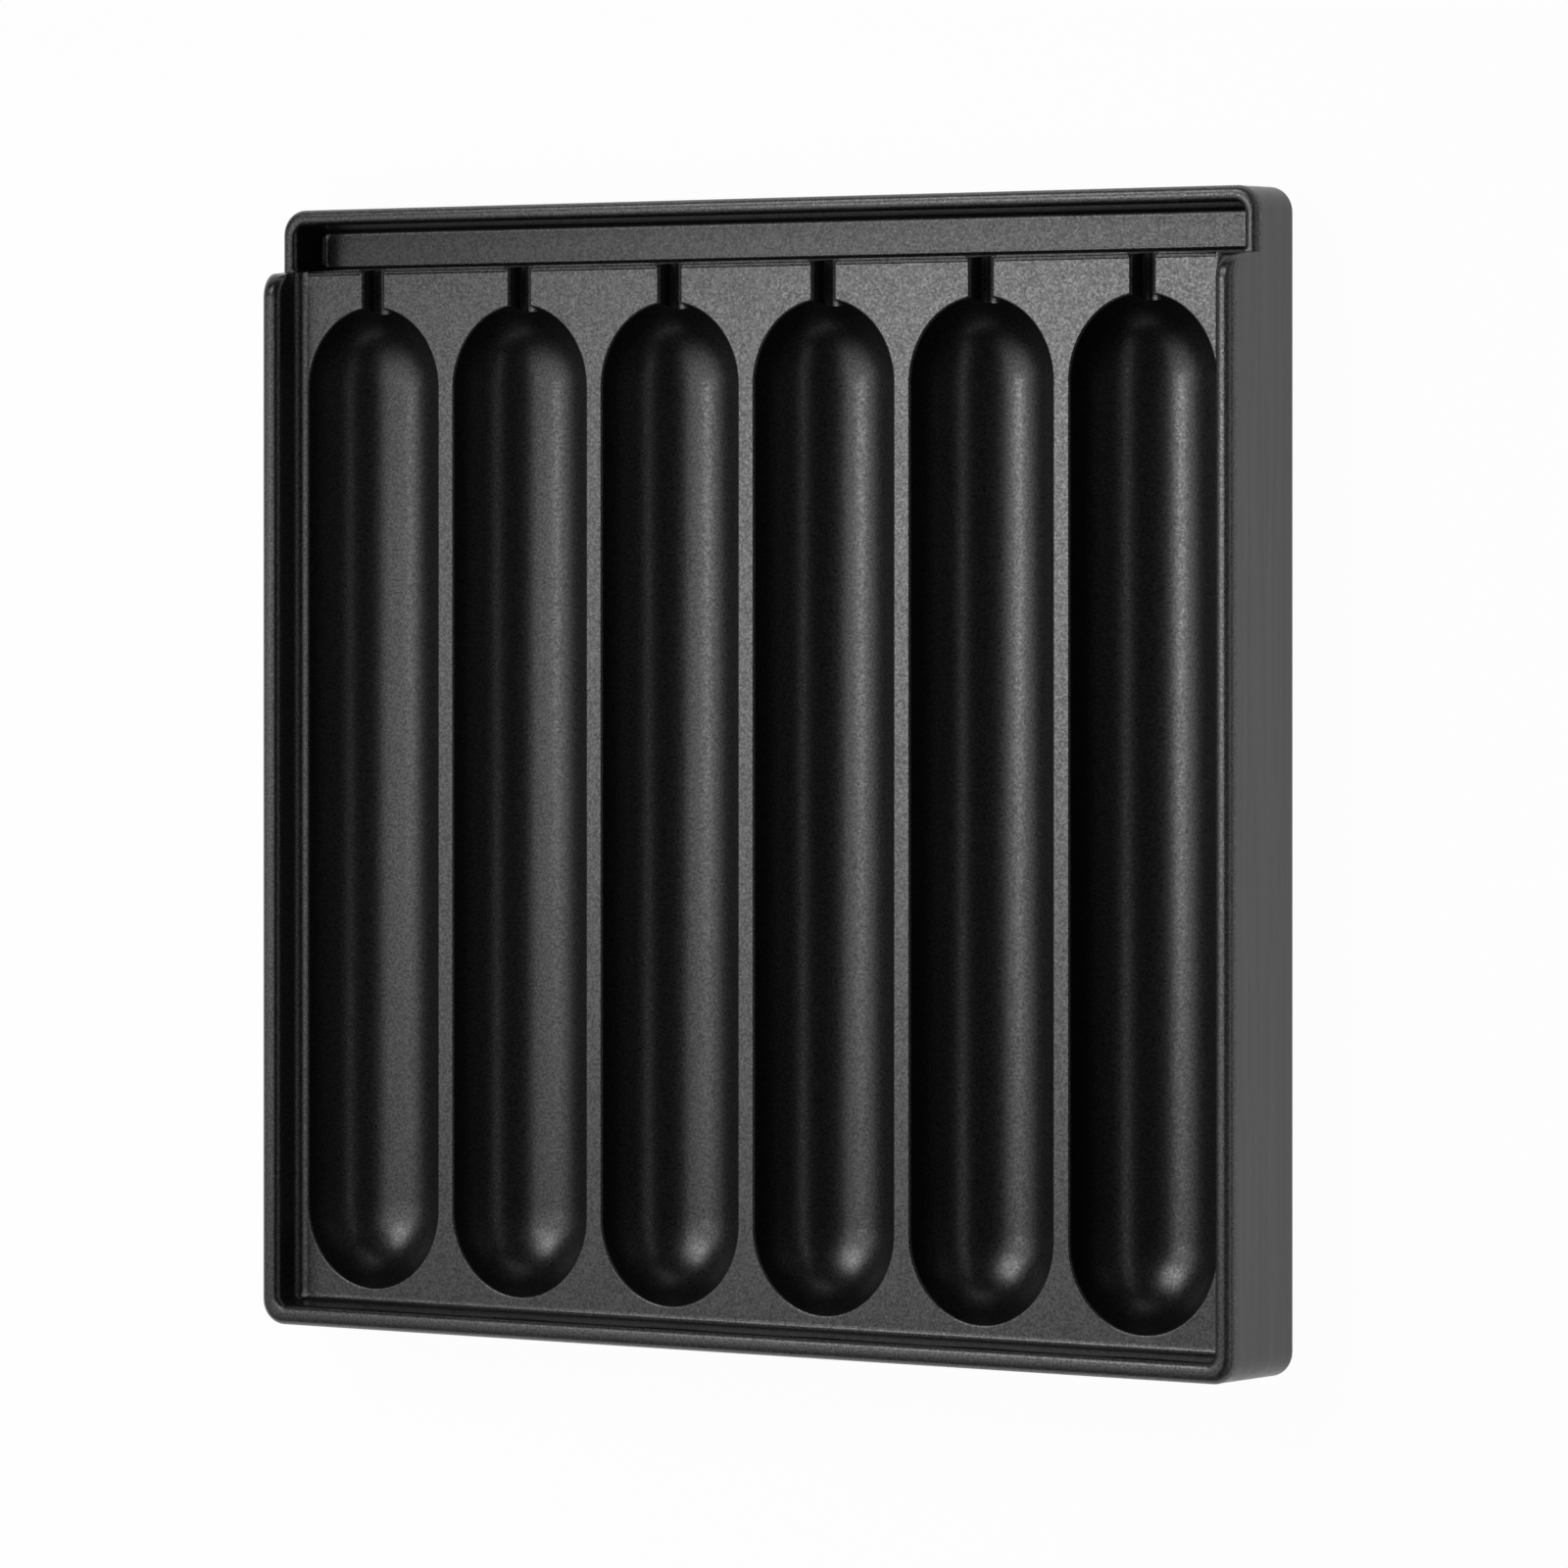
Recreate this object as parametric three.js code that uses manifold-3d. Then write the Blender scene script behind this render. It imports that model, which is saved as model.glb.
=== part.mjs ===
// Sausage grill pan: a square die-cast aluminium pan with six half-round sausage troughs, a stick slot at
// the head of each trough, and a sunken stick ledge behind a lower rim. The troughs reach below the skirt,
// and the pan stands on flats along their bottoms. A fired non-stick coat covers the food side.
// Millimetres. X runs across the troughs, Y along them to the ledge, Z up from the foot.

import * as THREE from 'three';
import { mergeVertices } from 'three/addons/utils/BufferGeometryUtils.js';
import Module from 'manifold-3d';

const wasm = await Module();
wasm.setup();

// Driving dimensions: troughs
const troughCount = 6;
const troughWidth = 28.6;
const troughLength = 179.2;
const troughDepth = 13.6;
const troughEndLength = 15;
const troughEdgeRound = 0.8;
const landWidth = 3.4;

// Driving dimensions: plate margins round the troughs
const sideMargin = 2.0;
const frontMargin = 2.7;

// Driving dimensions: stick slots and ledge
const slotWidth = 5;
const slotLength = 6.7;
const slotDepth = 6;
const slotEdgeRound = 0.8;
const slotFloorRound = 1;
const stepEdgeRound = 0.7;
const ledgeWidth = 7.1;
const ledgeFloorThickness = 2.4;
const ledgeCornerRadius = 1.2;
const ledgeFillet = 0.9;

// Driving dimensions: rims
const rimHeight = 6.2;
const rimWidth = 3.7;
const rimRound = 1.6;
const rimFillet = 1.2;
const rimEndRound = 4.5;
const lowRimHeight = 8.4;
const lowRimWidth = 2.8;
const lowRimRound = 1.25;
const cornerRadius = 4.5;
const pocketCornerRadius = 1;
const hollowCornerRadius = 2;

// Driving dimensions: walls, coat and draft angles
const wall = 1.6;
const plateThickness = 3;
const plateHeight = 12.6;
const skirt = 2.4;
const footFlat = 0.3;
const coat = 0.06;
const sideDraft = THREE.MathUtils.degToRad(5.5);
const endDraft = THREE.MathUtils.degToRad(0.5);
const rimDraft = THREE.MathUtils.degToRad(5.5);
const ledgeDraft = THREE.MathUtils.degToRad(5);
const slotDraft = THREE.MathUtils.degToRad(1.5);

// Facets of each round, the reach of a cutting solid past the surface that it opens, and the distance within
// which two vertices are one
const cornerSteps = 4;
const roundSteps = 4;
const edgeSteps = 2;
const endSteps = 5;
const troughSteps = 6;
const reach = 0.5;
const weldDistance = 1e-5;

// Levels above the foot. The skirt ends a plate height below the plate, and a foot flat is taken off the
// bottoms of the troughs' shells.
const plateLevel = Math.max(troughDepth + wall - footFlat, plateHeight);
const skirtLevel = plateLevel - plateHeight;
const rimLevel = plateLevel + rimHeight;
const ledgeLevel = skirtLevel + ledgeFloorThickness;
const lowRimLevel = ledgeLevel + lowRimHeight;

// Across: from the troughs out to the lower edge of the skirt
const pitch = troughWidth + landWidth;
const pocketHalf = (pitch * (troughCount - 1) + troughWidth) / 2 + sideMargin;
const rimRun = rimHeight * Math.tan(rimDraft);
const skirtHalf = pocketHalf + rimRun + rimWidth + (rimLevel - skirtLevel) * Math.tan(sideDraft);

// Along: from the front rim over the troughs to the lower rim behind the ledge, with Y = 0 in the middle
const frontRun = (rimLevel - skirtLevel) * Math.tan(endDraft) + rimWidth + rimRun;
const stepRun = (plateLevel - ledgeLevel) * Math.tan(ledgeDraft);
const ledgeRun = lowRimHeight * Math.tan(ledgeDraft);
const backRun = ledgeRun + lowRimWidth + (lowRimLevel - skirtLevel) * Math.tan(endDraft);
const plateRun = frontMargin + troughLength + slotLength;
const lengthHalf = (frontRun + plateRun + stepRun + ledgeWidth + backRun) / 2;
const pocketFront = -lengthHalf + frontRun;
const troughFront = pocketFront + frontMargin;
const troughBack = troughFront + troughLength;
const stepY = troughBack + slotLength;
const ledgeBack = stepY + stepRun + ledgeWidth;

// Trough section: a circular arc through both edges and the bottom, with a small round on the edge
const troughRadius = ((troughWidth / 2) ** 2 + troughDepth ** 2) / (2 * troughDepth);
const troughCentre = plateLevel - troughDepth + troughRadius;
const edgeRise = troughCentre - plateLevel + troughEdgeRound;
const edgeHalf = Math.sqrt((troughRadius + troughEdgeRound) ** 2 - edgeRise ** 2);
const edgeAngle = Math.atan2(edgeHalf, edgeRise);
const endStretch = troughEndLength / (troughWidth / 2);

// Angles from one to another in equal steps, both ends included
function angles(from, to, steps) {
  return Array.from({ length: steps + 1 }, (_, i) => from + ((to - from) * i) / steps);
}

// A manifold solid from a geometry whose shared vertices are merged
function solid(geometry) {
  geometry.deleteAttribute('normal');
  geometry.deleteAttribute('uv');
  const merged = mergeVertices(geometry, weldDistance);
  const vertProperties = new Float32Array(merged.attributes.position.array);
  const triVerts = new Uint32Array(merged.index.array);
  return new wasm.Manifold(new wasm.Mesh({ numProp: 3, vertProperties, triVerts }));
}

// Closed surface over rings of right-hand points that are mirrored in X. The rings go upwards, and a ring's
// points go from front to back.
function loft(halfRings) {
  const rings = halfRings.map((half) => {
    const mirrored = half.map((p) => new THREE.Vector3(-p.x, p.y, p.z)).reverse();
    return [...half, ...mirrored];
  });
  const count = rings[0].length;
  const last = (rings.length - 1) * count;
  const index = [];
  for (let k = 0; k < rings.length - 1; k++) {
    for (let i = 0; i < count; i++) {
      const a = k * count + i;
      const b = k * count + ((i + 1) % count);
      index.push(a, b, b + count, a, b + count, a + count);
    }
  }
  for (let i = 0; i < count / 2 - 1; i++) {
    const [a, b, c, d] = [i, i + 1, count - 2 - i, count - 1 - i];
    index.push(a, c, b, a, d, c);
    index.push(last + a, last + b, last + c, last + a, last + c, last + d);
  }
  const geometry = new THREE.BufferGeometry();
  geometry.setFromPoints(rings.flat());
  geometry.setIndex(index);
  return geometry;
}

// Points of a quarter round at a front (-1) or back (+1) right-hand corner, from front to back
function corner(right, edge, side, radius, z) {
  const from = side < 0 ? -Math.PI / 2 : 0;
  return angles(from, from + Math.PI / 2, cornerSteps).map((a) => {
    const x = right - radius + radius * Math.cos(a);
    const y = edge - side * radius + radius * Math.sin(a);
    return new THREE.Vector3(x, y, z);
  });
}

// Side view of the main rim's back end: a round over its end, then the drafted face down to the lower rim.
// grow moves the profile outwards.
function rimEnd(grow) {
  const foot = rimLevel - rimEndRound;
  const faceY = (z) => stepY + (plateLevel - z) * Math.tan(ledgeDraft);
  const centreY = faceY(foot) - rimEndRound;
  const radius = rimEndRound + grow;
  const over = angles(0, Math.PI / 2, endSteps).map((a) => ({
    y: centreY + radius * Math.sin(a),
    top: foot + radius * Math.cos(a),
  }));
  return [...over, { y: faceY(lowRimLevel) + grow, top: lowRimLevel + grow }];
}

// Right half of one ring round the outside. place gives the inset and height for a rim top and rim round.
function outsideRing(grow, place) {
  const at = (top, round) => {
    const { inset, z } = place(top, round);
    const right = skirtHalf - (z - skirtLevel) * Math.tan(sideDraft) - inset;
    const end = lengthHalf - (z - skirtLevel) * Math.tan(endDraft) - inset;
    return { right, end, z, radius: cornerRadius - inset };
  };
  const front = at(rimLevel, rimRound);
  const back = at(lowRimLevel, lowRimRound);
  const side = rimEnd(grow).map(({ y, top }) => {
    const { right, z } = at(top - grow, top > lowRimLevel + grow ? rimRound : lowRimRound);
    return new THREE.Vector3(right, y, z);
  });
  return [
    ...corner(front.right, -front.end, -1, front.radius, front.z),
    ...side,
    ...corner(back.right, back.end, 1, back.radius, back.z),
  ];
}

// The pan's outer form with nothing taken out. grow thickens the rims' rounded tops only.
function outside(grow) {
  const base = outsideRing(0, () => ({ inset: 0, z: skirtLevel }));
  const shoulder = outsideRing(0, (top, round) => ({ inset: 0, z: top - round }));
  const crest = angles(0, Math.PI / 2, roundSteps).map((a) =>
    outsideRing(grow, (top, round) => ({
      inset: round - (round + grow) * Math.cos(a),
      z: top - round + (round + grow) * Math.sin(a),
    })),
  );
  return solid(loft(grow > 0 ? [base, shoulder, ...crest] : [base, ...crest]));
}

// Space over the plate inside the main rim, open at the back. grow narrows it.
function platePocket(grow) {
  const ends = rimEnd(grow);
  const lowest = plateLevel + rimFillet + rimRound + reach;
  const ring = (outset, z) => {
    const right = pocketHalf + outset;
    const radius = pocketCornerRadius + Math.max(outset, 0);
    const side = ends.map(({ y, top }) => new THREE.Vector3(right, y, z(Math.max(top - grow, lowest))));
    const behind = new THREE.Vector3(right, lengthHalf + reach, z(lowest));
    return [...corner(right, pocketFront - outset, -1, radius, z(rimLevel)), ...side, behind];
  };
  const fillet = angles(0, Math.PI / 2 - rimDraft, roundSteps).map((a) => {
    const z = plateLevel + rimFillet - (rimFillet - grow) * Math.cos(a);
    const run = (z - plateLevel) * Math.tan(rimDraft);
    return ring(run - rimFillet + (rimFillet - grow) * Math.sin(a), () => z);
  });
  const crest = angles(0, Math.PI / 2, roundSteps).map((a) => {
    const outset = rimRun + rimRound - (rimRound + grow) * Math.cos(a);
    return ring(outset, (top) => top - rimRound + (rimRound + grow) * Math.sin(a));
  });
  const above = ring(rimRun + rimRound, (top) => top + grow + reach);
  return solid(loft([...fillet, ...crest, above]));
}

// Space over the stick ledge, up to the top of the lower rim. grow narrows it.
function ledgePocket(grow) {
  const top = skirtHalf - (lowRimLevel - skirtLevel) * Math.tan(sideDraft) - lowRimWidth;
  const floorHalf = top - ledgeRun;
  const ring = (outset, z, lift) => {
    const step = stepY + (plateLevel - z) * Math.tan(ledgeDraft) + grow + lift;
    const right = floorHalf + outset;
    const radius = ledgeCornerRadius + Math.max(outset, 0);
    const back = corner(right, ledgeBack + outset, 1, radius, z);
    return [...corner(right, step, -1, ledgeCornerRadius, z), ...back];
  };
  const fillet = angles(0, Math.PI / 2 - ledgeDraft, roundSteps).map((a) => {
    const z = ledgeLevel + ledgeFillet - (ledgeFillet - grow) * Math.cos(a);
    const lift = ledgeFillet - (ledgeFillet - grow) * Math.sin(a) - grow;
    return ring((z - ledgeLevel) * Math.tan(ledgeDraft) - lift - grow, z, lift);
  });
  const crest = angles(0, Math.PI / 2, roundSteps).map((a) => {
    const outset = ledgeRun + lowRimRound - (lowRimRound + grow) * Math.cos(a);
    return ring(outset, lowRimLevel - lowRimRound + (lowRimRound + grow) * Math.sin(a), 0);
  });
  return solid(loft([...fillet, ...crest]));
}

// Right half of a trough's outline at a half width: straight sides with stretched round ends
function troughRing(half, z) {
  const quarter = angles(0, Math.PI / 2, troughSteps).slice(0, -1);
  const middle = Math.PI / 4 / troughSteps;
  const end = half * endStretch;
  const back = quarter.map((a) => {
    const y = troughBack - troughEndLength + end * Math.sin(a + middle);
    return new THREE.Vector3(half * Math.cos(a + middle), y, z);
  });
  const front = back.map((p) => new THREE.Vector3(p.x, troughFront + troughBack - p.y, z)).reverse();
  return [...front, ...back];
}

// One trough's space, from just above the plate. grow narrows it.
function trough(grow) {
  const arcStep = edgeAngle / (troughSteps + 0.5);
  const arc = angles(arcStep / 2, edgeAngle, troughSteps).map((a) => {
    const radius = troughRadius - grow;
    return troughRing(radius * Math.sin(a), troughCentre - radius * Math.cos(a));
  });
  const edge = angles(edgeAngle, 0, edgeSteps).slice(1).map((a) => {
    const radius = troughEdgeRound + grow;
    return troughRing(edgeHalf - radius * Math.sin(a), plateLevel - troughEdgeRound + radius * Math.cos(a));
  });
  const above = troughRing(edgeHalf, plateLevel + grow + reach);
  return loft([...arc, ...edge, above]);
}

// A trough's shell under the plate, one wall thicker than the trough itself, with a flat to stand on
function troughShell() {
  const radius = troughRadius + wall;
  const top = Math.acos((troughCentre - plateLevel) / radius);
  const narrowest = top / (2 * troughSteps + 1);
  const flat = Math.max(Math.acos(Math.min(troughCentre / radius, 1)), narrowest);
  const arc = angles(flat, top, troughSteps).map((a) => {
    return troughRing(radius * Math.sin(a), troughCentre - radius * Math.cos(a));
  });
  return loft(arc);
}

// Stick slot from a trough's back end through the step to the ledge. grow narrows it.
function slot(grow) {
  const half = slotWidth / 2;
  const floor = plateLevel - slotDepth;
  const round = slotEdgeRound;
  const foot = half - (slotDepth - round) * Math.tan(slotDraft) - slotFloorRound;
  const profile = [new THREE.Vector2(half + round, plateLevel + grow + reach)];
  for (const a of angles(0, Math.PI / 2, edgeSteps)) {
    const x = half + round - (round + grow) * Math.sin(a);
    profile.push(new THREE.Vector2(x, plateLevel - round + (round + grow) * Math.cos(a)));
  }
  for (const a of angles(Math.PI / 2, 0, edgeSteps)) {
    const x = foot + (slotFloorRound - grow) * Math.sin(a);
    profile.push(new THREE.Vector2(x, floor + slotFloorRound - (slotFloorRound - grow) * Math.cos(a)));
  }
  const mirrored = profile.map((p) => new THREE.Vector2(-p.x, p.y)).reverse();
  const from = troughBack - troughEndLength / 2;
  const to = stepY + stepRun + ledgeWidth / 2;
  const geometry = new THREE.ExtrudeGeometry(new THREE.Shape([...profile, ...mirrored]), {
    depth: to - from,
    bevelEnabled: false,
  });
  geometry.rotateX(Math.PI / 2);
  geometry.translate(0, to, 0);
  return geometry;
}

// What the round on the plate's back edge takes off. It runs on past its end, out through the step's face.
// grow leaves more of the edge.
function stepEdge(grow) {
  const top = plateLevel + grow + reach;
  const radius = stepEdgeRound + grow;
  const sweep = Math.PI / 2 - 3 * ledgeDraft;
  const arc = angles(0, sweep, roundSteps).map((a) => {
    const y = stepY - stepEdgeRound + radius * Math.sin(a);
    return new THREE.Vector2(y, plateLevel - stepEdgeRound + radius * Math.cos(a));
  });
  const run = new THREE.Vector2(Math.cos(sweep), -Math.sin(sweep)).multiplyScalar(2 * stepEdgeRound);
  const foot = arc.at(-1).clone().add(run);
  const profile = [new THREE.Vector2(arc[0].x, top), ...arc, foot, new THREE.Vector2(foot.x, top)];
  const half = pocketHalf - rimFillet;
  const shape = new THREE.Shape(profile);
  const geometry = new THREE.ExtrudeGeometry(shape, { depth: 2 * half, bevelEnabled: false });
  geometry.rotateX(Math.PI / 2);
  geometry.rotateZ(Math.PI / 2);
  geometry.translate(-half, 0, 0);
  return solid(geometry);
}

// Walls of a stick slot below the plate
function slotShell() {
  const height = slotDepth + wall;
  const length = stepY - troughBack + troughEndLength / 2;
  const geometry = new THREE.BoxGeometry(slotWidth + 2 * wall, length, height);
  geometry.translate(0, stepY - length / 2, plateLevel - height / 2);
  return geometry;
}

// Solids of one geometry at every trough's middle line, joined
function acrossTroughs(geometry) {
  const places = Array.from({ length: troughCount }, (_, i) => (i - (troughCount - 1) / 2) * pitch);
  const copies = places.map((x) => solid(geometry.clone().translate(x, 0, 0)));
  return copies.reduce((all, next) => all.add(next));
}

// Everything that is open above the food side
function foodSpace(grow) {
  const row = acrossTroughs(trough(grow)).add(acrossTroughs(slot(grow)));
  return platePocket(grow).add(ledgePocket(grow)).add(stepEdge(grow)).add(row);
}

// Hollow under the plate: inside the skirt, round the trough and slot shells, in front of the ledge
function underSpace() {
  const ring = (z) => {
    const right = skirtHalf - (z - skirtLevel) * Math.tan(sideDraft) - skirt;
    const front = -lengthHalf + (z - skirtLevel) * Math.tan(endDraft) + skirt;
    const radius = hollowCornerRadius;
    return [...corner(right, front, -1, radius, z), ...corner(right, stepY - wall, 1, radius, z)];
  };
  const hollow = solid(loft([ring(skirtLevel - reach), ring(plateLevel - plateThickness)]));
  return hollow.subtract(shells).subtract(acrossTroughs(slotShell()));
}

// A named mesh from a finished solid
function piece(name, body, material) {
  const mesh = body.getMesh();
  const geometry = new THREE.BufferGeometry();
  geometry.setAttribute('position', new THREE.BufferAttribute(new Float32Array(mesh.vertProperties), 3));
  geometry.setIndex(new THREE.BufferAttribute(new Uint32Array(mesh.triVerts), 1));
  geometry.computeVertexNormals();
  const result = new THREE.Mesh(geometry, material);
  result.name = name;
  return result;
}

const shells = acrossTroughs(troughShell());
const bare = outside(0).add(shells).subtract(foodSpace(0));
const coated = outside(coat).add(shells).subtract(foodSpace(coat));

const castMetal = new THREE.MeshStandardMaterial({ color: 0x3a3b3d, roughness: 0.5, metalness: 0.2 });
const nonStick = new THREE.MeshStandardMaterial({ color: 0x232324, roughness: 0.42, metalness: 0 });

const pan = new THREE.Group();
pan.add(piece('pan_casting', bare.subtract(underSpace()), castMetal));
pan.add(piece('nonstick_coating', coated.subtract(bare), nonStick));

export default pan;
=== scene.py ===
"""Looks of the sausage grill pan: fine meshes, finishes, studio light and the photograph's camera."""

import math

import bmesh
import bpy
import numpy as np
from mathutils import Matrix


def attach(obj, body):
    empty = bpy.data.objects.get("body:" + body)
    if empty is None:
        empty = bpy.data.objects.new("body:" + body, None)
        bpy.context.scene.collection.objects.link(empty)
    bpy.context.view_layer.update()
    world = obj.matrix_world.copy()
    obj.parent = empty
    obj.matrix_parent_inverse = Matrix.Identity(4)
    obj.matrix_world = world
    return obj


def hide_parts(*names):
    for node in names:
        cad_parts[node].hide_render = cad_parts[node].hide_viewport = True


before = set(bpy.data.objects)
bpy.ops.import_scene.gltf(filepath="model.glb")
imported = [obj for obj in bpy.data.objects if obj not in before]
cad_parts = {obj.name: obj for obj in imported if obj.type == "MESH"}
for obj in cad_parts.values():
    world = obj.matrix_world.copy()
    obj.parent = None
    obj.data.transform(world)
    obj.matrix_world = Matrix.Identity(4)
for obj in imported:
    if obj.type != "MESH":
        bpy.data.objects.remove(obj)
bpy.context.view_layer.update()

# The part's sizes in millimetres. Most are the solids' own. The slots' section, the troughs' edge rounds, the
# side fillets and the ledge's slope follow the reflections in the photograph.
MM = 0.001
TROUGH_COUNT = 6
TROUGH_WIDTH = 28.6
TROUGH_LENGTH = 179.2
TROUGH_DEPTH = 13.6
TROUGH_END_LENGTH = 15
TROUGH_EDGE_ROUND = 0.4
LAND_WIDTH = 3.4
SIDE_MARGIN = 2.0
FRONT_MARGIN = 2.7
SLOT_WIDTH = 4.2
SLOT_LENGTH = 6.7
SLOT_DEPTH = 4.6
SLOT_EDGE_ROUND = 0.6
SLOT_FLOOR_ROUND = 1.9
STEP_EDGE_ROUND = 0.7
LEDGE_WIDTH = 7.1
LEDGE_FLOOR = 2.4
LEDGE_CORNER_RADIUS = 1.2
LEDGE_FILLET = 0.9
RIM_HEIGHT = 6.2
RIM_WIDTH = 3.7
RIM_ROUND = 1.6
SIDE_FILLET = 2
FRONT_FILLET = 1.2
RIM_END_ROUND = 4.5
LOW_RIM_HEIGHT = 8.4
LOW_RIM_WIDTH = 2.8
LOW_RIM_ROUND = 1.25
CORNER_RADIUS = 4.5
POCKET_CORNER_RADIUS = 1
HOLLOW_CORNER_RADIUS = 2
WALL = 1.6
PLATE_THICKNESS = 3
PLATE_HEIGHT = 12.6
SKIRT = 2.4
FOOT_FLAT = 0.3
COAT = 0.06
SIDE_SLOPE = math.tan(math.radians(5.5))
END_SLOPE = math.tan(math.radians(0.5))
RIM_DRAFT = math.radians(5.5)
LEDGE_DRAFT = math.radians(5)
SLOT_SLOPE = math.tan(math.radians(1.5))
LEDGE_SLOPE = math.tan(math.radians(2))
QUARTER = math.pi / 2

# Facets of the rounds, and the reach of a cutting solid past the surface that it opens
CORNER_STEPS = 10
ROUND_STEPS = 10
EDGE_STEPS = 8
END_STEPS = 14
TROUGH_STEPS = 24
REACH = 0.5

# Looks: the angle over which an edge shows as sharp, a white that leans to blue, the floor's size in metres,
# and how much of the floor shows as plain white
SHARP_ANGLE = math.radians(32)
COOL_WHITE = (1, 1, 1.02)
FLOOR_HALF = 4.0
FLOOR_GLOW = 0.97

# Camera: its place in metres, its tilt, and its lens in millimetres
CAMERA_PLACE = (0.70418, 0.04118, 1.16546)
CAMERA_TILT = math.radians(31.18)
SENSOR_WIDTH = 36
FOCAL_LENGTH = 4.85 * SENSOR_WIDTH
PICTURE_SHIFT = -0.1542

# Levels and places worked out from the sizes
PLATE = TROUGH_DEPTH + WALL - FOOT_FLAT
SKIRT_EDGE = PLATE - PLATE_HEIGHT
RIM = PLATE + RIM_HEIGHT
LEDGE = SKIRT_EDGE + LEDGE_FLOOR
LOW_RIM = LEDGE + LOW_RIM_HEIGHT
PITCH = TROUGH_WIDTH + LAND_WIDTH
POCKET_HALF = (PITCH * (TROUGH_COUNT - 1) + TROUGH_WIDTH) / 2 + SIDE_MARGIN
RIM_RUN = RIM_HEIGHT * math.tan(RIM_DRAFT)
SKIRT_HALF = POCKET_HALF + RIM_RUN + RIM_WIDTH + (RIM - SKIRT_EDGE) * SIDE_SLOPE
FRONT_RUN = (RIM - SKIRT_EDGE) * END_SLOPE + RIM_WIDTH + RIM_RUN
STEP_RUN = (PLATE - LEDGE) * math.tan(LEDGE_DRAFT)
LEDGE_RUN = LOW_RIM_HEIGHT * math.tan(LEDGE_DRAFT)
BACK_RUN = LEDGE_RUN + LOW_RIM_WIDTH + (LOW_RIM - SKIRT_EDGE) * END_SLOPE
PLATE_RUN = FRONT_MARGIN + TROUGH_LENGTH + SLOT_LENGTH
LENGTH_HALF = (FRONT_RUN + PLATE_RUN + STEP_RUN + LEDGE_WIDTH + BACK_RUN) / 2
POCKET_FRONT = -LENGTH_HALF + FRONT_RUN
TROUGH_FRONT = POCKET_FRONT + FRONT_MARGIN
TROUGH_BACK = TROUGH_FRONT + TROUGH_LENGTH
STEP = TROUGH_BACK + SLOT_LENGTH
LEDGE_BACK = STEP + STEP_RUN + LEDGE_WIDTH
TROUGH_PLACES = [(i - (TROUGH_COUNT - 1) / 2) * PITCH for i in range(TROUGH_COUNT)]

# Trough section: an arc through both edges and the bottom, with a small round on the edge
TROUGH_RADIUS = ((TROUGH_WIDTH / 2) ** 2 + TROUGH_DEPTH**2) / (2 * TROUGH_DEPTH)
TROUGH_CENTRE = PLATE - TROUGH_DEPTH + TROUGH_RADIUS
EDGE_RISE = TROUGH_CENTRE - PLATE + TROUGH_EDGE_ROUND
EDGE_HALF = math.sqrt((TROUGH_RADIUS + TROUGH_EDGE_ROUND) ** 2 - EDGE_RISE**2)
EDGE_ANGLE = math.atan2(EDGE_HALF, EDGE_RISE)
END_STRETCH = TROUGH_END_LENGTH / (TROUGH_WIDTH / 2)


def angles(start, end, steps):
    """Angles from one to another in equal steps, both ends included."""
    return np.linspace(start, end, steps + 1)


def mesh_object(name, points, faces):
    """A mesh object in the scene, in millimetres for now."""
    mesh = bpy.data.meshes.new(name)
    mesh.from_pydata([tuple(map(float, p)) for p in points], [], faces)
    mesh.validate()
    obj = bpy.data.objects.new(name, mesh)
    bpy.context.scene.collection.objects.link(obj)
    return obj


def loft(name, half_rings, shift=0.0):
    """Closed surface over rings of right-hand points, front to back, mirrored in X; the rings go upwards."""
    rings = []
    for half in half_rings:
        mirrored = [(-x, y, z) for x, y, z in reversed(half)]
        rings.append([(x + shift, y, z) for x, y, z in [*half, *mirrored]])
    count = len(rings[0])
    last = (len(rings) - 1) * count
    faces = []
    for k in range(len(rings) - 1):
        for i in range(count):
            a = k * count + i
            b = k * count + (i + 1) % count
            faces.append((a, b, b + count, a + count))
    for i in range(count // 2 - 1):
        a, b, c, d = i, i + 1, count - 2 - i, count - 1 - i
        faces.append((a, d, c, b))
        faces.append((last + a, last + b, last + c, last + d))
    return mesh_object(name, [p for ring in rings for p in ring], faces)


def prism(name, near, far):
    """Closed surface between two copies of one outline, given as lists of points."""
    count = len(near)
    faces = [tuple(range(count)), tuple(range(2 * count - 1, count - 1, -1))]
    for i in range(count):
        j = (i + 1) % count
        faces.append((j, i, i + count, j + count))
    return mesh_object(name, [*near, *far], faces)


def prism_along(name, outline, x, start, end):
    """A prism along Y over an outline of points across and up, set at a place across the pan."""
    near = [(x + u, start, z) for u, z in outline]
    far = [(x + u, end, z) for u, z in outline]
    return prism(name, near, far)


def apply_modifiers(obj):
    """Makes the result of an object's modifiers its mesh."""
    graph = bpy.context.evaluated_depsgraph_get()
    mesh = bpy.data.meshes.new_from_object(obj.evaluated_get(graph))
    mesh.materials.clear()
    obj.modifiers.clear()
    obj.data = mesh


def combine(target, operation, tool):
    """Joins the tool to the target or cuts it out, and removes the tool."""
    modifier = target.modifiers.new("combine", "BOOLEAN")
    modifier.operation = operation
    modifier.solver = "MANIFOLD"
    modifier.object = tool
    apply_modifiers(target)
    bpy.data.objects.remove(tool)


def mark_bare(form, points):
    """Marks the faces that the coat leaves bare: those with one of the form's first points."""
    bare = form.data.attributes.new("bare", "BOOLEAN", "FACE")
    for face in form.data.polygons:
        bare.data[face.index].value = min(face.vertices) < points


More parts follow.
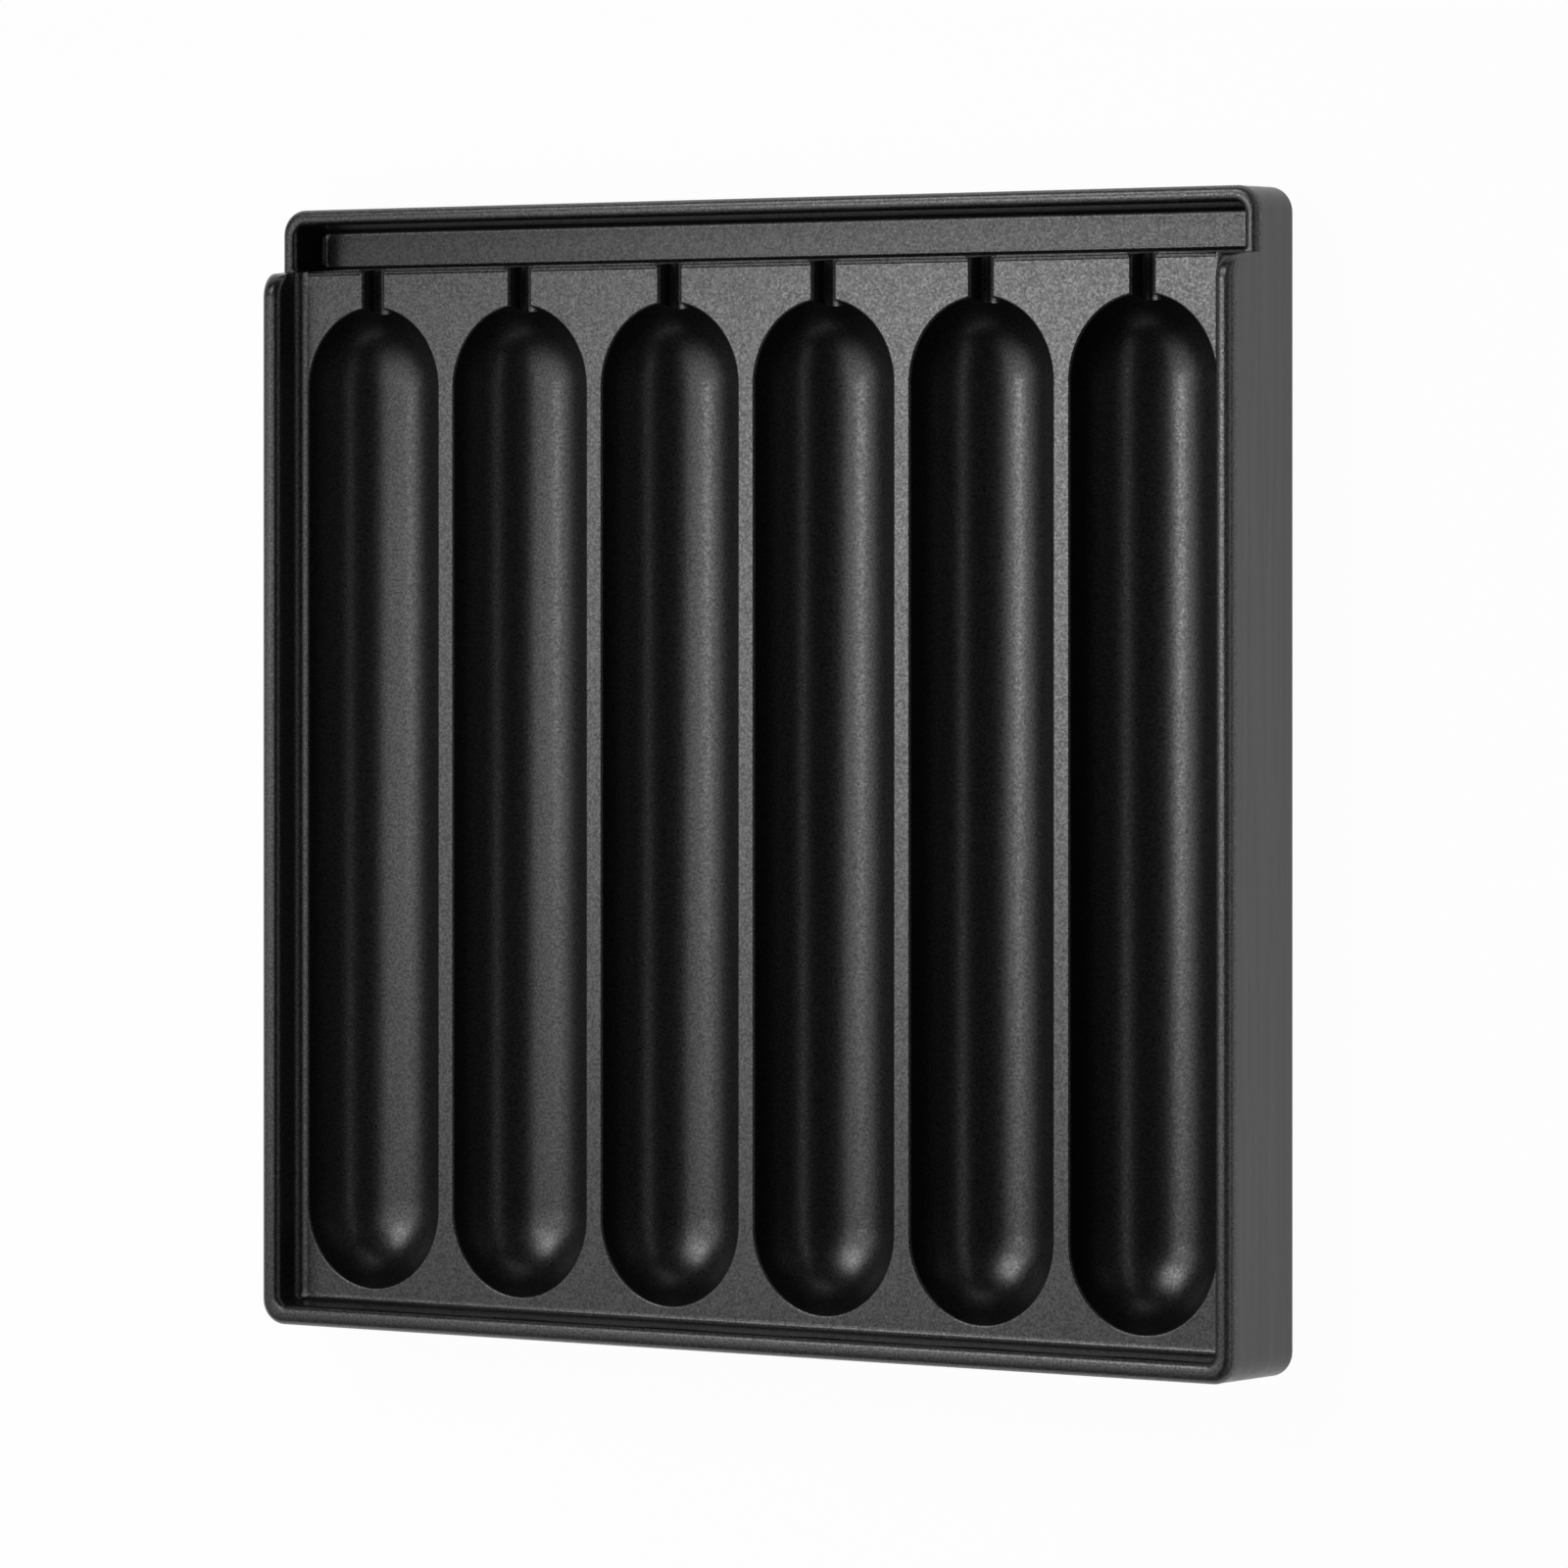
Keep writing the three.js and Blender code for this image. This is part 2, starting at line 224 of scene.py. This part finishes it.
def mark_painted_sheen(form, points_per_ring):
    """Gives each point its share of painted sheen: none on top of the rims, more the further down their outer
    rounds.
    """
    painted_sheen = form.data.attributes.new("painted_sheen", "FLOAT", "POINT")
    last_ring = len(form.data.vertices) // points_per_ring - 1
    for i in range(len(form.data.vertices)):
        steps_from_top = last_ring - i // points_per_ring
        painted_sheen.data[i].value = min(steps_from_top / ROUND_STEPS, 1)


def at_troughs(make):
    """One mesh object of separate closed forms, one at each trough's middle line."""
    points = []
    faces = []
    for x in TROUGH_PLACES:
        form = make(x)
        first = len(points)
        points += [tuple(v.co) for v in form.data.vertices]
        faces += [tuple(first + i for i in face.vertices) for face in form.data.polygons]
        bpy.data.objects.remove(form)
    return mesh_object("row", points, faces)


def corner(right, edge, side, radius, z):
    """Points of a quarter round at a front (-1) or back (+1) right-hand corner, from front to back."""
    start = -QUARTER if side < 0 else 0.0
    middle = edge - side * radius
    turn = angles(start, start + QUARTER, CORNER_STEPS)
    return [(right - radius + radius * math.cos(a), middle + radius * math.sin(a), z) for a in turn]


def rim_end(grow):
    """Side view of the main rim's back end: a round, then the drafted face down to the lower rim."""
    foot = RIM - RIM_END_ROUND
    middle = STEP + (PLATE - foot) * math.tan(LEDGE_DRAFT) - RIM_END_ROUND
    radius = RIM_END_ROUND + grow
    over = [
        (middle + radius * math.sin(a), foot + radius * math.cos(a))
        for a in angles(0, QUARTER, END_STEPS)
    ]
    low_end = STEP + (PLATE - LOW_RIM) * math.tan(LEDGE_DRAFT) + grow
    return [*over, (low_end, LOW_RIM + grow)]


def outside_ring(grow, place):
    """Right half of one ring round the outside. place gives inset and height for a rim top and round."""

    def at(top, rounding):
        inset, z = place(top, rounding)
        right = SKIRT_HALF - (z - SKIRT_EDGE) * SIDE_SLOPE - inset
        end = LENGTH_HALF - (z - SKIRT_EDGE) * END_SLOPE - inset
        return right, end, z, CORNER_RADIUS - inset

    right, end, z, radius = at(RIM, RIM_ROUND)
    points = corner(right, -end, -1, radius, z)
    for y, top in rim_end(grow):
        rounding = RIM_ROUND if top > LOW_RIM + grow else LOW_RIM_ROUND
        side, _, z, _ = at(top - grow, rounding)
        points.append((side, y, z))
    right, end, z, radius = at(LOW_RIM, LOW_RIM_ROUND)
    return points + corner(right, end, 1, radius, z)


def outside(name, grow):
    """The pan's outer form with nothing taken out. grow thickens the rims' rounded tops only."""
    rings = [outside_ring(0, lambda top, rounding: (0, SKIRT_EDGE))]
    if grow > 0:
        rings.append(outside_ring(0, lambda top, rounding: (0, top - rounding)))
    for a in angles(0, QUARTER, ROUND_STEPS):
        rings.append(
            outside_ring(
                grow,
                lambda top, rounding: (
                    rounding - (rounding + grow) * math.cos(a),
                    top - rounding + (rounding + grow) * math.sin(a),
                ),
            )
        )
    form = loft(name, rings)
    points_per_ring = 2 * len(rings[0])
    mark_bare(form, 2 * points_per_ring)
    # Painted sheen: a share for each point that grows down the rims' outer rounds, which the coat's finish
    # turns lighter and duller
    mark_painted_sheen(form, points_per_ring)
    return form


def plate_pocket(grow):
    """Space over the plate inside the main rim, open at the back. grow narrows it."""
    ends = rim_end(grow)
    lowest = PLATE + SIDE_FILLET + RIM_ROUND + REACH

    def fillet(radius, z):
        """How far out from the plate's edge the fillet, or the wall above it, lies at a level."""
        below = max(PLATE + radius - z, 0)
        reach = math.sqrt(max((radius - grow) ** 2 - below**2, 0))
        return (z - PLATE) * math.tan(RIM_DRAFT) - radius + reach

    def ring(outset, front_outset, level):
        right = POCKET_HALF + outset
        radius = POCKET_CORNER_RADIUS + max(outset, 0)
        points = corner(right, POCKET_FRONT - front_outset, -1, radius, level(RIM))
        points += [(right, y, level(max(top - grow, lowest))) for y, top in ends]
        return [*points, (right, LENGTH_HALF + REACH, level(lowest))]

    rings = []
    for a in angles(0, QUARTER - RIM_DRAFT, ROUND_STEPS):
        z = PLATE + SIDE_FILLET - (SIDE_FILLET - grow) * math.cos(a)
        rings.append(ring(fillet(SIDE_FILLET, z), fillet(FRONT_FILLET, z), lambda top: z))
    for a in angles(0, QUARTER, ROUND_STEPS):
        outset = RIM_RUN + RIM_ROUND - (RIM_ROUND + grow) * math.cos(a)
        rise = (RIM_ROUND + grow) * math.sin(a) - RIM_ROUND
        rings.append(ring(outset, outset, lambda top: top + rise))
    outset = RIM_RUN + RIM_ROUND
    rings.append(ring(outset, outset, lambda top: top + grow + REACH))
    return loft("plate_pocket", rings)


def ledge_pocket(grow):
    """Space over the stick ledge up to the lower rim's top; its floor falls to the back. grow narrows it."""
    floor_half = SKIRT_HALF - (LOW_RIM - SKIRT_EDGE) * SIDE_SLOPE - LOW_RIM_WIDTH - LEDGE_RUN

    def ring(outset, z, lift, slope):
        step = STEP + (PLATE - z) * math.tan(LEDGE_DRAFT) + grow + lift
        right = floor_half + outset
        radius = LEDGE_CORNER_RADIUS + max(outset, 0)
        front = corner(right, step, -1, LEDGE_CORNER_RADIUS, z)
        points = front + corner(right, LEDGE_BACK + outset, 1, radius, z)
        return [(x, y, z - slope * (y - STEP)) for x, y, z in points]

    rings = []
    for a in angles(0, QUARTER - LEDGE_DRAFT, ROUND_STEPS):
        z = LEDGE + LEDGE_FILLET - (LEDGE_FILLET - grow) * math.cos(a)
        lift = LEDGE_FILLET - (LEDGE_FILLET - grow) * math.sin(a) - grow
        rings.append(ring((z - LEDGE) * math.tan(LEDGE_DRAFT) - lift - grow, z, lift, LEDGE_SLOPE))
    for a in angles(0, QUARTER, ROUND_STEPS):
        outset = LEDGE_RUN + LOW_RIM_ROUND - (LOW_RIM_ROUND + grow) * math.cos(a)
        rings.append(ring(outset, LOW_RIM - LOW_RIM_ROUND + (LOW_RIM_ROUND + grow) * math.sin(a), 0, 0))
    return loft("ledge_pocket", rings)


def trough_ring(half, z):
    """Right half of a trough's outline at a half width: straight sides with stretched round ends."""
    step = QUARTER / TROUGH_STEPS
    end = half * END_STRETCH
    middle = TROUGH_BACK - TROUGH_END_LENGTH
    back = []
    for i in range(TROUGH_STEPS):
        a = (i + 0.5) * step
        back.append((half * math.cos(a), middle + end * math.sin(a), z))
    front = [(x, TROUGH_FRONT + TROUGH_BACK - y, z) for x, y, z in reversed(back)]
    return front + back


def trough_arc(radius, start, end):
    """Rings up a trough's round bottom, from one angle to another."""
    return [
        trough_ring(radius * math.sin(a), TROUGH_CENTRE - radius * math.cos(a))
        for a in angles(start, end, TROUGH_STEPS)
    ]


def trough(grow, x):
    """One trough's space, from just above the plate. grow narrows it."""
    rings = trough_arc(TROUGH_RADIUS - grow, EDGE_ANGLE / (2 * TROUGH_STEPS + 1), EDGE_ANGLE)
    radius = TROUGH_EDGE_ROUND + grow
    for a in angles(EDGE_ANGLE, 0, EDGE_STEPS)[1:]:
        half = EDGE_HALF - radius * math.sin(a)
        rings.append(trough_ring(half, PLATE - TROUGH_EDGE_ROUND + radius * math.cos(a)))
    rings.append(trough_ring(EDGE_HALF, PLATE + grow + REACH))
    return loft("trough", rings, x)


def trough_shell(x):
    """A trough's shell under the plate, one wall thicker than the trough, with a flat to stand on."""
    radius = TROUGH_RADIUS + WALL
    flat = math.acos(TROUGH_CENTRE / radius)
    top = math.acos((TROUGH_CENTRE - PLATE) / radius)
    return loft("trough_shell", trough_arc(radius, flat, top), x)


def slot(grow, x):
    """Stick slot from a trough's back end through the step to the ledge. grow narrows it."""
    half = SLOT_WIDTH / 2
    edge = SLOT_EDGE_ROUND
    foot = half - (SLOT_DEPTH - edge) * SLOT_SLOPE - SLOT_FLOOR_ROUND
    floor = PLATE - SLOT_DEPTH
    profile = [(half + edge, PLATE + grow + REACH)]
    for a in angles(0, QUARTER, EDGE_STEPS):
        u = half + edge - (edge + grow) * math.sin(a)
        profile.append((u, PLATE - edge + (edge + grow) * math.cos(a)))
    radius = SLOT_FLOOR_ROUND - grow
    for a in angles(QUARTER, 0, EDGE_STEPS):
        u = foot + radius * math.sin(a)
        profile.append((u, floor + SLOT_FLOOR_ROUND - radius * math.cos(a)))
    outline = profile + [(-u, z) for u, z in reversed(profile)]
    front = TROUGH_BACK - TROUGH_END_LENGTH / 2
    back = STEP + STEP_RUN + LEDGE_WIDTH / 2
    return prism_along("slot", outline, x, back, front)


def step_edge(grow):
    """What the round on the plate's back edge takes off, and on past its end through the step's face."""
    top = PLATE + grow + REACH
    radius = STEP_EDGE_ROUND + grow
    sweep = QUARTER - 3 * LEDGE_DRAFT
    arc = [
        (STEP - STEP_EDGE_ROUND + radius * math.sin(a), PLATE - STEP_EDGE_ROUND + radius * math.cos(a))
        for a in angles(0, sweep, EDGE_STEPS)
    ]
    run = 2 * STEP_EDGE_ROUND
    foot = (arc[-1][0] + run * math.cos(sweep), arc[-1][1] - run * math.sin(sweep))
    outline = [(arc[0][0], top), *arc, foot, (foot[0], top)]
    half = POCKET_HALF - SIDE_FILLET
    return prism("step_edge", [(-half, y, z) for y, z in outline], [(half, y, z) for y, z in outline])


def slot_shell(x):
    """Walls of a stick slot below the plate."""
    half = SLOT_WIDTH / 2 + WALL
    low = PLATE - SLOT_DEPTH - WALL
    outline = [(half, PLATE), (half, low), (-half, low), (-half, PLATE)]
    front = TROUGH_BACK - TROUGH_END_LENGTH / 2
    return prism_along("slot_shell", outline, x, STEP, front)


def food_side(name, grow):
    """The pan's outer form and its trough shells, with everything above the food side taken out."""
    form = outside(name, grow)
    shells = at_troughs(trough_shell)
    mark_bare(shells, len(shells.data.vertices))
    combine(form, "UNION", shells)
    tools = [plate_pocket(grow), ledge_pocket(grow), step_edge(grow)]
    tools.append(at_troughs(lambda x: trough(grow, x)))
    tools.append(at_troughs(lambda x: slot(grow, x)))
    for tool in tools:
        combine(form, "DIFFERENCE", tool)
    return form


def under_space():
    """Hollow under the plate: inside the skirt, round the trough and slot shells, before the ledge."""

    def ring(z):
        right = SKIRT_HALF - (z - SKIRT_EDGE) * SIDE_SLOPE - SKIRT
        front = -LENGTH_HALF + (z - SKIRT_EDGE) * END_SLOPE + SKIRT
        points = corner(right, front, -1, HOLLOW_CORNER_RADIUS, z)
        return points + corner(right, STEP - WALL, 1, HOLLOW_CORNER_RADIUS, z)

    hollow = loft("hollow", [ring(SKIRT_EDGE - REACH), ring(PLATE - PLATE_THICKNESS)])
    combine(hollow, "DIFFERENCE", at_troughs(trough_shell))
    combine(hollow, "DIFFERENCE", at_troughs(slot_shell))
    return hollow


def skin(form):
    """Leaves the food side of the coated form, as a closed skin of the coat's thickness."""
    work = bmesh.new()
    work.from_mesh(form.data)
    bare = work.faces.layers.bool["bare"]
    bmesh.ops.delete(work, geom=[face for face in work.faces if face[bare]], context="FACES")
    work.to_mesh(form.data)
    work.free()
    thicken = form.modifiers.new("thicken", "SOLIDIFY")
    thicken.thickness = COAT
    thicken.use_even_offset = True
    apply_modifiers(form)


def smooth(obj):
    """Scales a finished mesh to metres and shades its rounds smooth and its flats flat."""
    obj.data.transform(Matrix.Scale(MM, 4))
    obj.data.shade_smooth()
    obj.data.set_sharp_from_angle(angle=SHARP_ANGLE)
    modifier = obj.modifiers.new("weighted_normals", "WEIGHTED_NORMAL")
    modifier.keep_sharp = True
    return obj


def make_pan():
    """The casting and its coat, each in place of its solid."""
    casting = food_side("casting", 0)
    combine(casting, "DIFFERENCE", under_space())
    coating = food_side("coating", COAT)
    skin(coating)
    return smooth(casting), smooth(coating)


def shader(name):
    """A new material with its node tree and its Principled shader."""
    material = bpy.data.materials.new(name)
    material.use_nodes = True
    return material, material.node_tree, material.node_tree.nodes["Principled BSDF"]


def noise(tree, scale, detail, stretch=(1, 1, 1)):
    """Noise by place in the pan, with scale in repeats per metre, stretched along an axis."""
    place = tree.nodes.new("ShaderNodeTexCoord")
    mapping = tree.nodes.new("ShaderNodeMapping")
    mapping.inputs["Scale"].default_value = stretch
    texture = tree.nodes.new("ShaderNodeTexNoise")
    texture.inputs["Scale"].default_value = scale
    texture.inputs["Detail"].default_value = detail
    tree.links.new(place.outputs["Object"], mapping.inputs["Vector"])
    tree.links.new(mapping.outputs["Vector"], texture.inputs["Vector"])
    return texture.outputs["Fac"]


def ramp(tree, value, low, high, start=0.3, end=0.7):
    """A value that goes from low to high while another goes from start to end."""
    node = tree.nodes.new("ShaderNodeMapRange")
    node.inputs["From Min"].default_value = start
    node.inputs["From Max"].default_value = end
    node.inputs["To Min"].default_value = low
    node.inputs["To Max"].default_value = high
    tree.links.new(value, node.inputs["Value"])
    return node.outputs["Result"]


def calculate(tree, operation, first, second=None):
    """The result of an operation on a value and another value or a number."""
    node = tree.nodes.new("ShaderNodeMath")
    node.operation = operation
    tree.links.new(first, node.inputs[0])
    if isinstance(second, bpy.types.NodeSocket):
        tree.links.new(second, node.inputs[1])
    elif second is not None:
        node.inputs[1].default_value = second
    return node.outputs["Value"]


def grey(tree, value):
    """A slightly cool grey that follows a value."""
    node = tree.nodes.new("ShaderNodeVectorMath")
    node.operation = "SCALE"
    node.inputs[0].default_value = COOL_WHITE
    tree.links.new(value, node.inputs["Scale"])
    return node.outputs["Vector"]


def bump(tree, height, strength, distance):
    """A bump over a height, with its distance in metres."""
    node = tree.nodes.new("ShaderNodeBump")
    node.inputs["Strength"].default_value = strength
    node.inputs["Distance"].default_value = distance
    tree.links.new(height, node.inputs["Height"])
    return node.outputs["Normal"]


def nonstick_finish():
    """Charcoal-black non-stick coat with a fine sparkling grain, and a painted sheen that makes it lighter
    and duller down the rims' outer rounds.
    """
    material, tree, surface = shader("nonstick")
    grain = noise(tree, scale=1900, detail=1)
    flake = noise(tree, scale=2500, detail=2)
    attribute = tree.nodes.new("ShaderNodeAttribute")
    attribute.attribute_name = "painted_sheen"
    painted_sheen = attribute.outputs["Fac"]
    grain_tone = ramp(tree, flake, low=0.026, high=0.06, start=0.34, end=0.66)
    # Painted sheen: down the rims' outer rounds the coat's colour is lifted and its metal look dulled,
    # standing in for the pale floor's reflection
    lift = ramp(tree, painted_sheen, low=1, high=2.2, start=0, end=0.6)
    shine = ramp(tree, painted_sheen, low=0.9, high=0.2, start=0, end=0.6)
    tree.links.new(grey(tree, calculate(tree, "MULTIPLY", grain_tone, lift)), surface.inputs["Base Color"])
    tree.links.new(shine, surface.inputs["Metallic"])
    tree.links.new(ramp(tree, grain, low=0.26, high=0.34), surface.inputs["Roughness"])
    tree.links.new(bump(tree, grain, strength=0.1, distance=0.00004), surface.inputs["Normal"])
    return material


def enamel_finish():
    """Smooth dark grey enamel on the casting's outside, with faint streaks along its walls."""
    material, tree, surface = shader("enamel")
    streak = noise(tree, scale=900, detail=3, stretch=(0.03, 0.03, 1))
    peel = noise(tree, scale=700, detail=2)
    tree.links.new(grey(tree, ramp(tree, streak, low=0.049, high=0.072)), surface.inputs["Base Color"])
    tree.links.new(ramp(tree, peel, low=0.3, high=0.4), surface.inputs["Roughness"])
    tree.links.new(bump(tree, peel, strength=0.06, distance=0.00005), surface.inputs["Normal"])
    return material


def floor_finish():
    """White floor: it shows white, and under the lamps it still takes the pan's shadow."""
    material, tree, surface = shader("floor")
    surface.inputs["Base Color"].default_value = (0.8, 0.8, 0.8, 1)
    surface.inputs["Roughness"].default_value = 0.9
    rays = tree.nodes.new("ShaderNodeLightPath").outputs
    seen = calculate(tree, "MAXIMUM", rays["Is Camera Ray"], rays["Is Glossy Ray"])
    seen = calculate(tree, "MAXIMUM", seen, rays["Is Transmission Ray"])
    glow = tree.nodes.new("ShaderNodeEmission")
    mix = tree.nodes.new("ShaderNodeMixShader")
    tree.links.new(calculate(tree, "MULTIPLY", seen, FLOOR_GLOW), mix.inputs["Fac"])
    tree.links.new(surface.outputs["BSDF"], mix.inputs[1])
    tree.links.new(glow.outputs["Emission"], mix.inputs[2])
    tree.links.new(mix.outputs["Shader"], tree.nodes["Material Output"].inputs["Surface"])
    return material


def lamp(name, place, size, radiance, turn=(0, 0), spread=180):
    """A soft rectangular light of a given brightness, facing down, then turned in degrees about X and Y."""
    half_spread = math.radians(spread) / 2
    width, length = size
    light = bpy.data.lights.new(name, "AREA")
    light.shape = "RECTANGLE"
    light.size = width
    light.size_y = length
    light.spread = 2 * half_spread
    # With a narrow spread the same brightness takes less energy
    light.energy = radiance * math.pi * width * length * (1 - half_spread / math.tan(half_spread))
    obj = bpy.data.objects.new(name, light)
    obj.location = place
    obj.rotation_euler = (math.radians(turn[0]), math.radians(turn[1]), 0)
    bpy.context.scene.collection.objects.link(obj)
    return light


def hot_spot(light, place, fade):
    """Makes a lamp fade from one place on its face, given from its middle, as a diffuser does."""
    light.use_nodes = True
    tree = light.node_tree
    face = tree.nodes.new("ShaderNodeNewGeometry")
    scaled = tree.nodes.new("ShaderNodeVectorMath")
    scaled.operation = "MULTIPLY"
    scaled.inputs[1].default_value = (light.size / fade[0], light.size_y / fade[1], 0)
    distance = tree.nodes.new("ShaderNodeVectorMath")
    distance.operation = "DISTANCE"
    middle = (light.size / 2 + place[0]) / fade[0], (light.size_y / 2 + place[1]) / fade[1]
    distance.inputs[1].default_value = (*middle, 0)
    tree.links.new(face.outputs["Parametric"], scaled.inputs[0])
    tree.links.new(scaled.outputs["Vector"], distance.inputs[0])
    away = distance.outputs["Value"]
    fall = calculate(tree, "MULTIPLY", calculate(tree, "MULTIPLY", away, away), -1)
    tree.links.new(calculate(tree, "EXPONENT", fall), tree.nodes["Emission"].inputs["Strength"])


def make_stage():
    """Floor, lamps and world."""
    half = FLOOR_HALF
    corners = [(-half, -half, 0), (half, -half, 0), (half, half, 0), (-half, half, 0)]
    floor = mesh_object("floor", corners, [(0, 1, 2, 3)])
    floor.data.materials.append(floor_finish())
    softbox = lamp("softbox", place=(-0.305, -0.185, 0.285), size=(0.6, 0.6), radiance=2.2)
    hot_spot(softbox, place=(0.2, 0.23), fade=(0.6, 0.24))
    grid = lamp("grid", place=(-0.42, 0.04, 0.9), size=(0.5, 0.8), radiance=23, turn=(0, -31), spread=19)
    hot_spot(grid, place=(0, 0.06), fade=(0.12, 0.14))
    lamp("strip", place=(0.258, 0, 0.172), size=(0.02, 0.6), radiance=2.4, turn=(0, 56))
    lamp(
        "back_panel",
        place=(-0.216, 0.39, 0.59),
        size=(0.46, 0.34),
        radiance=7.8,
        turn=(-35.2, -31.8),
        spread=60,
    )
    make_world()


def make_world():
    """Dim room whose walls are light just above the floor."""
    world = bpy.data.worlds.new("studio")
    world.use_nodes = True
    tree = world.node_tree
    direction = tree.nodes.new("ShaderNodeTexCoord")
    parts = tree.nodes.new("ShaderNodeSeparateXYZ")
    tree.links.new(direction.outputs["Generated"], parts.inputs[0])
    level = ramp(tree, parts.outputs["Z"], low=1.2, high=0.03, start=0.08, end=0.26)
    tree.links.new(level, tree.nodes["Background"].inputs["Color"])
    bpy.context.scene.world = world


def make_camera():
    """The photograph's view: from above the pan, 31 degrees over to its right."""
    lens = bpy.data.cameras.new("camera")
    lens.sensor_width = SENSOR_WIDTH
    lens.lens = FOCAL_LENGTH
    lens.shift_y = PICTURE_SHIFT
    lens.clip_start = 0.05
    camera = bpy.data.objects.new("camera", lens)
    camera.location = CAMERA_PLACE
    camera.rotation_euler = (0, CAMERA_TILT, 0)
    bpy.context.scene.collection.objects.link(camera)
    bpy.context.scene.camera = camera


casting, coating = make_pan()
casting.data.materials.append(enamel_finish())
coating.data.materials.append(nonstick_finish())
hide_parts("pan_casting")
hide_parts("nonstick_coating")
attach(casting, "root")
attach(coating, "root")
make_stage()
make_camera()
bpy.context.scene.view_settings.view_transform = "Standard"
